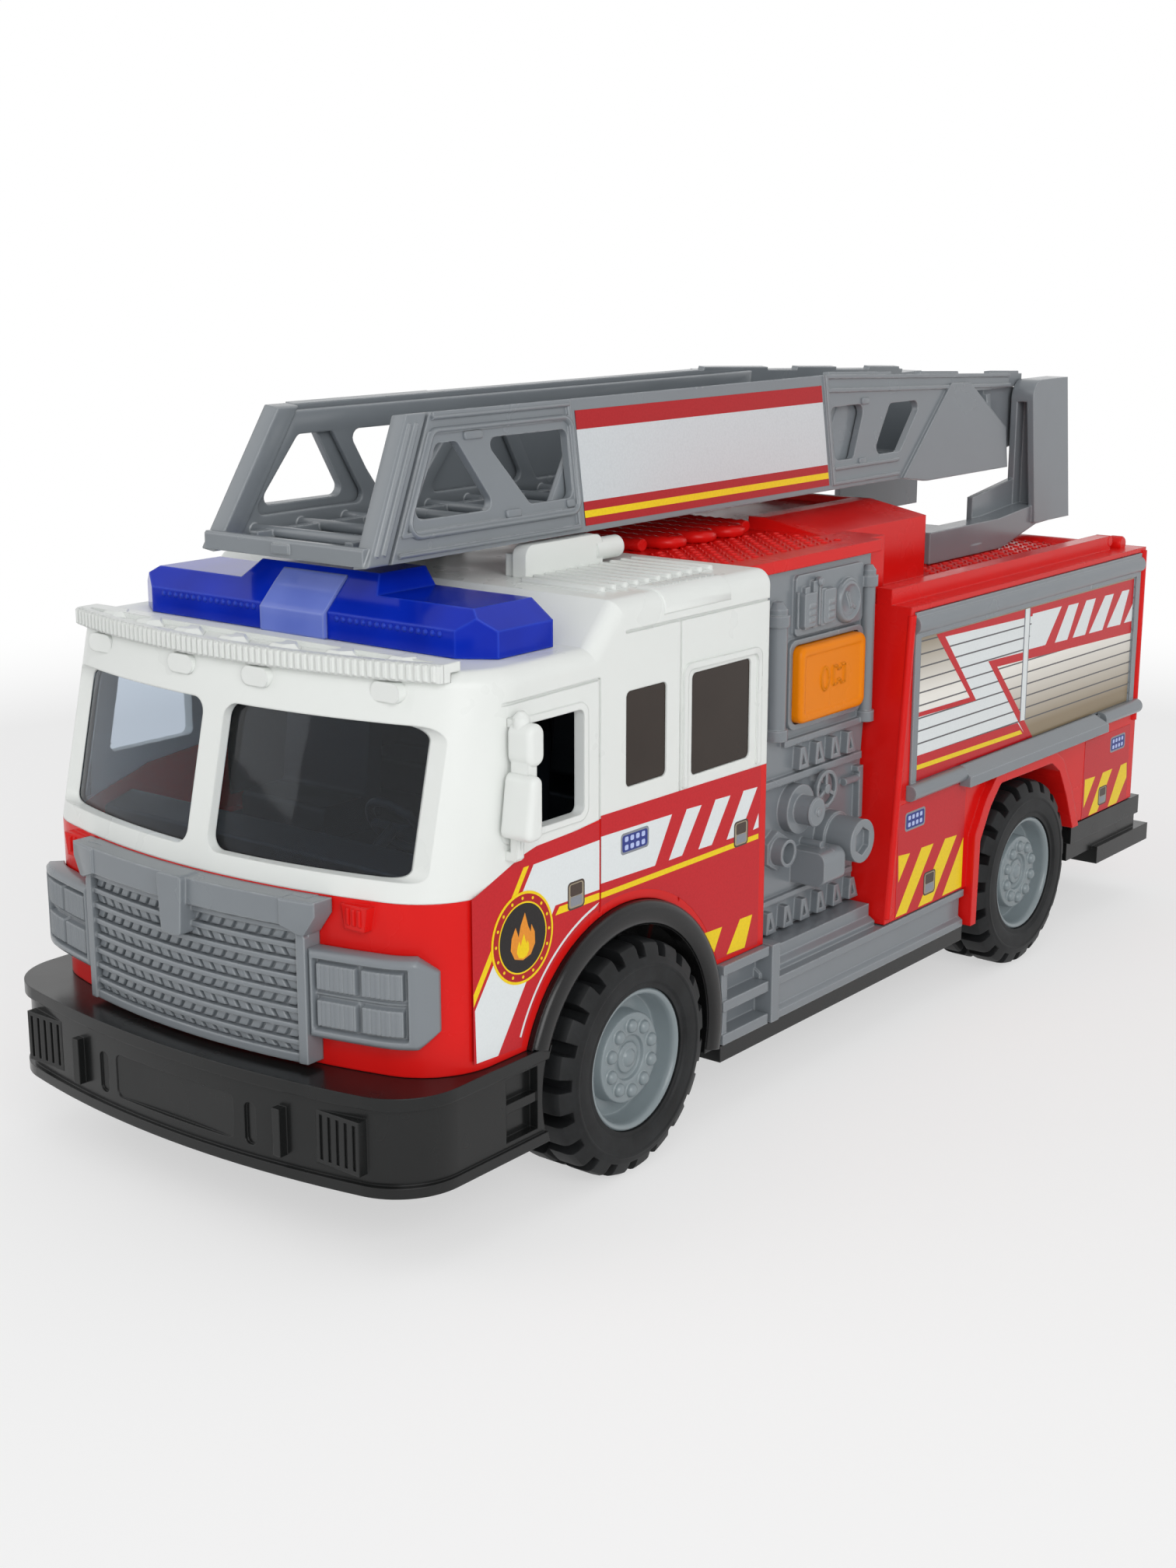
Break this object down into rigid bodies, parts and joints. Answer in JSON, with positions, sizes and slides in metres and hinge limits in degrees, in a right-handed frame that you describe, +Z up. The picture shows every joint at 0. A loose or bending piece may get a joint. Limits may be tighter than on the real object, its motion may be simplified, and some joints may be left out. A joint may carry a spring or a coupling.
{
  "type": "toy ladder fire engine",
  "caption": "Toy fire engine with a white cab, red body and rolling wheels; its grey roof ladder turns, rises and slides out.",
  "frame": {"origin": "on the floor under the middle of the truck's overall length and width", "axes": "+Z up, -Y towards the front bumper, +X towards the truck's left side"},
  "size_m": [0.122, 0.305, 0.1463],
  "materials": {
    "red_plastic": "gloss",
    "white_plastic": "gloss",
    "grey_plastic": "satin",
    "black_plastic": "satin",
    "dark_interior": "matte",
    "clear_screen": "gloss",
    "dark_glass": "gloss",
    "blue_lens": "gloss",
    "blue_lens_light": "gloss",
    "orange_button": "gloss",
    "tyre_rubber": "matte",
    "hub_grey": "satin",
    "steel": "satin",
    "lamp_red": "gloss"
  },
  "bodies": {
    "truck": {"chassis": "black_plastic", "battery_cover": "black_plastic", "front_bumper": "black_plastic", "front_arch_left": "black_plastic", "front_arch_right": "black_plastic", "cab_lower": "red_plastic", "cab_upper": "white_plastic", "windscreen": "clear_screen", "side_glass_left": "dark_glass", "side_glass_right": "dark_glass", "cab_interior": "dark_interior", "grille": "grey_plastic", "headlamp_left": "grey_plastic", "headlamp_right": "grey_plastic", "sun_visor": "white_plastic", "mirror_left": "white_plastic", "mirror_right": "white_plastic", "light_bar": "blue_lens", "light_bar_lens": "blue_lens_light", "ladder_rest_left": "white_plastic", "ladder_rest_right": "white_plastic", "rear_body": "red_plastic", "pump_panel_left": "grey_plastic", "pump_panel_right": "grey_plastic", "sound_button_left": "orange_button", "sound_button_right": "orange_button", "running_board_left": "grey_plastic", "running_board_right": "grey_plastic", "shutter_left": "grey_plastic", "shutter_right": "grey_plastic", "rear_fender_left": "grey_plastic", "rear_fender_right": "grey_plastic", "rear_step": "black_plastic", "tail_lamp_left": "lamp_red", "tail_lamp_right": "lamp_red"},
    "front_wheels": {"front_axle": "steel", "front_tyre_left": "tyre_rubber", "front_tyre_right": "tyre_rubber", "front_hub_left": "hub_grey", "front_hub_right": "hub_grey"},
    "rear_wheels": {"rear_axle": "steel", "rear_tyre_left": "tyre_rubber", "rear_tyre_right": "tyre_rubber", "rear_hub_left": "hub_grey", "rear_hub_right": "hub_grey"},
    "turntable": {"turntable": "grey_plastic", "hinge_pin": "steel"},
    "ladder_main": {"ladder_outer": "grey_plastic"},
    "ladder_extension": {"ladder_inner": "grey_plastic"}
  },
  "joints": [
    {"name": "front_axle_roll", "type": "hinge", "parent": "truck", "child": "front_wheels", "pos_m": [0, -0.0841, 0.0233], "axis": [1, 0, 0], "continuous": true},
    {"name": "rear_axle_roll", "type": "hinge", "parent": "truck", "child": "rear_wheels", "pos_m": [0, 0.0759, 0.0233], "axis": [1, 0, 0], "continuous": true},
    {"name": "turntable_turn", "type": "hinge", "parent": "truck", "child": "turntable", "pos_m": [0, 0.1, 0.0974], "axis": [0, 0, 1], "range_deg": [-100, 100]},
    {"name": "ladder_raise", "type": "hinge", "parent": "turntable", "child": "ladder_main", "pos_m": [0, 0.14, 0.1293], "axis": [-1, 0, 0], "range_deg": [0, 60]},
    {"name": "ladder_extend", "type": "slide", "parent": "ladder_main", "child": "ladder_extension", "axis": [0, -1, 0], "range_m": [0, 0.11]}
  ]
}
